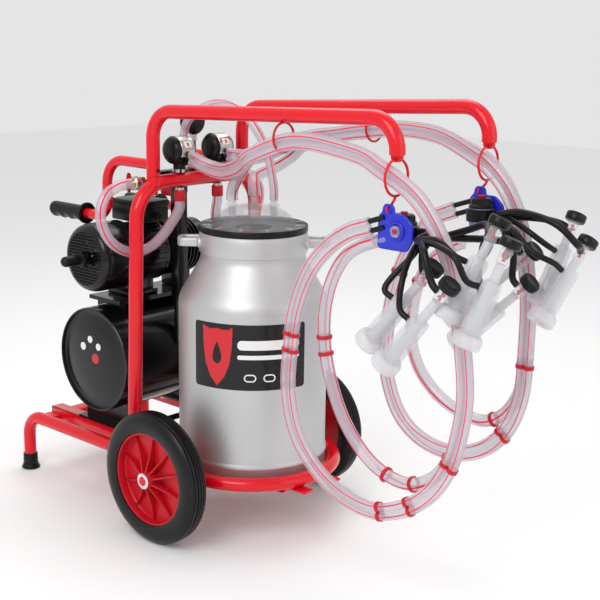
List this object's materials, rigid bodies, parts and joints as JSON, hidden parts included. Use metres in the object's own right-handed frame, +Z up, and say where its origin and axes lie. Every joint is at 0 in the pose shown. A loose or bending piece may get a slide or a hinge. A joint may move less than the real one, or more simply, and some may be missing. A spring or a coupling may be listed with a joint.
{
  "type": "milking machine",
  "caption": "Wheeled bucket milking machine: vacuum pump and tank on a tubular cart, milk can, arch with pulsators, and swing arms carrying the milking clusters.",
  "frame": {"origin": "centre of the footprint on the floor", "axes": "+X from the handles towards the milk can and the teat cups, +Y to the machine's left, +Z up"},
  "size_m": [1.4896, 0.624, 1.0246],
  "materials": {
    "red_paint": "glossy powder coat",
    "black_paint": "glossy paint",
    "black_rubber": "matt",
    "tyre_rubber": "matt",
    "red_plastic": "satin",
    "chrome": "polished",
    "bright_steel": "turned",
    "can_aluminium": "satin",
    "clear_plastic": "clear, moulded",
    "black_plastic": "fine grain",
    "brass": "bright",
    "blue_plastic": "satin",
    "clear_hose": "clear with red stripes"
  },
  "bodies": {
    "cart": {"base_frame": "red_paint", "arch": "red_paint", "right_foot": "black_rubber", "right_grip": "black_rubber", "right_axle_washer": "chrome", "left_foot": "black_rubber", "left_grip": "black_rubber", "left_axle_washer": "chrome", "can": "can_aluminium", "can_lid": "clear_plastic", "lid_gasket": "black_rubber", "tank": "black_paint", "tank_cradle": "black_paint", "motor_stand": "black_paint", "motor_body": "black_paint", "fan_cover": "black_paint", "pump_body": "black_paint", "terminal_box": "black_plastic", "vacuum_header": "black_paint", "regulator": "red_plastic", "gauge": "brass", "right_ball_valve": "chrome", "right_pulsator": "black_plastic", "right_hose_tail": "red_plastic", "right_valve_hose": "clear_hose", "left_ball_valve": "chrome", "left_pulsator": "black_plastic", "left_hose_tail": "red_plastic", "left_valve_hose": "clear_hose", "vacuum_hose": "clear_hose"},
    "right_wheel": {"right_tyre": "tyre_rubber", "right_rim": "red_plastic"},
    "right_valve_lever": {"right_valve_lever": "red_plastic"},
    "right_swing_arm": {"right_arm": "red_paint", "right_arm_hook": "chrome", "right_claw": "blue_plastic", "right_claw_tubes": "black_rubber", "right_teat_cup_1": "clear_plastic", "right_teat_cup_2": "clear_plastic", "right_teat_cup_3": "clear_plastic", "right_teat_cup_4": "clear_plastic", "right_milk_hose": "clear_hose", "right_pulse_hose": "clear_hose"},
    "left_wheel": {"left_tyre": "tyre_rubber", "left_rim": "red_plastic"},
    "left_valve_lever": {"left_valve_lever": "red_plastic"},
    "left_swing_arm": {"left_arm": "red_paint", "left_arm_hook": "chrome", "left_claw": "blue_plastic", "left_claw_tubes": "black_rubber", "left_teat_cup_1": "clear_plastic", "left_teat_cup_2": "clear_plastic", "left_teat_cup_3": "clear_plastic", "left_teat_cup_4": "clear_plastic", "left_milk_hose": "clear_hose", "left_pulse_hose": "clear_hose"},
    "motor_rotor": {"rotor": "bright_steel", "turning_knob": "black_plastic"},
    "gauge_needle": {"gauge_needle": "red_plastic"},
    "motor_switch": {"switch_knob": "red_plastic"}
  },
  "joints": [
    {"name": "right_wheel_spin", "type": "hinge", "parent": "cart", "child": "right_wheel", "pos_m": [-0.12581, -0.271, 0.155], "axis": [0, 1, 0], "continuous": true},
    {"name": "left_wheel_spin", "type": "hinge", "parent": "cart", "child": "left_wheel", "pos_m": [-0.12581, 0.271, 0.155], "axis": [0, 1, 0], "continuous": true},
    {"name": "right_arm_swing", "type": "hinge", "parent": "cart", "child": "right_swing_arm", "pos_m": [-0.26481, -0.145, 0.84], "axis": [0, 0, 1], "range_deg": [-60, 0]},
    {"name": "left_arm_swing", "type": "hinge", "parent": "cart", "child": "left_swing_arm", "pos_m": [-0.26481, 0.145, 0.84], "axis": [0, 0, 1], "range_deg": [0, 60]},
    {"name": "right_valve_turn", "type": "hinge", "parent": "cart", "child": "right_valve_lever", "pos_m": [-0.33381, -0.16, 0.804], "axis": [1, 0, 0], "range_deg": [0, 90]},
    {"name": "left_valve_turn", "type": "hinge", "parent": "cart", "child": "left_valve_lever", "pos_m": [-0.33381, 0.16, 0.804], "axis": [1, 0, 0], "range_deg": [0, 90]},
    {"name": "rotor_spin", "type": "hinge", "parent": "cart", "child": "motor_rotor", "pos_m": [-0.46581, 0, 0.607], "axis": [0, 1, 0], "continuous": true},
    {"name": "gauge_reading", "type": "hinge", "parent": "cart", "child": "gauge_needle", "pos_m": [-0.32781, 0.028, 0.94], "axis": [1, 0, 0], "range_deg": [0, 240], "stiffness_Nm_per_rad": 0.0005},
    {"name": "switch_turn", "type": "hinge", "parent": "cart", "child": "motor_switch", "pos_m": [-0.46081, -0.02, 0.745], "axis": [0, 0, 1], "range_deg": [0, 90]}
  ]
}
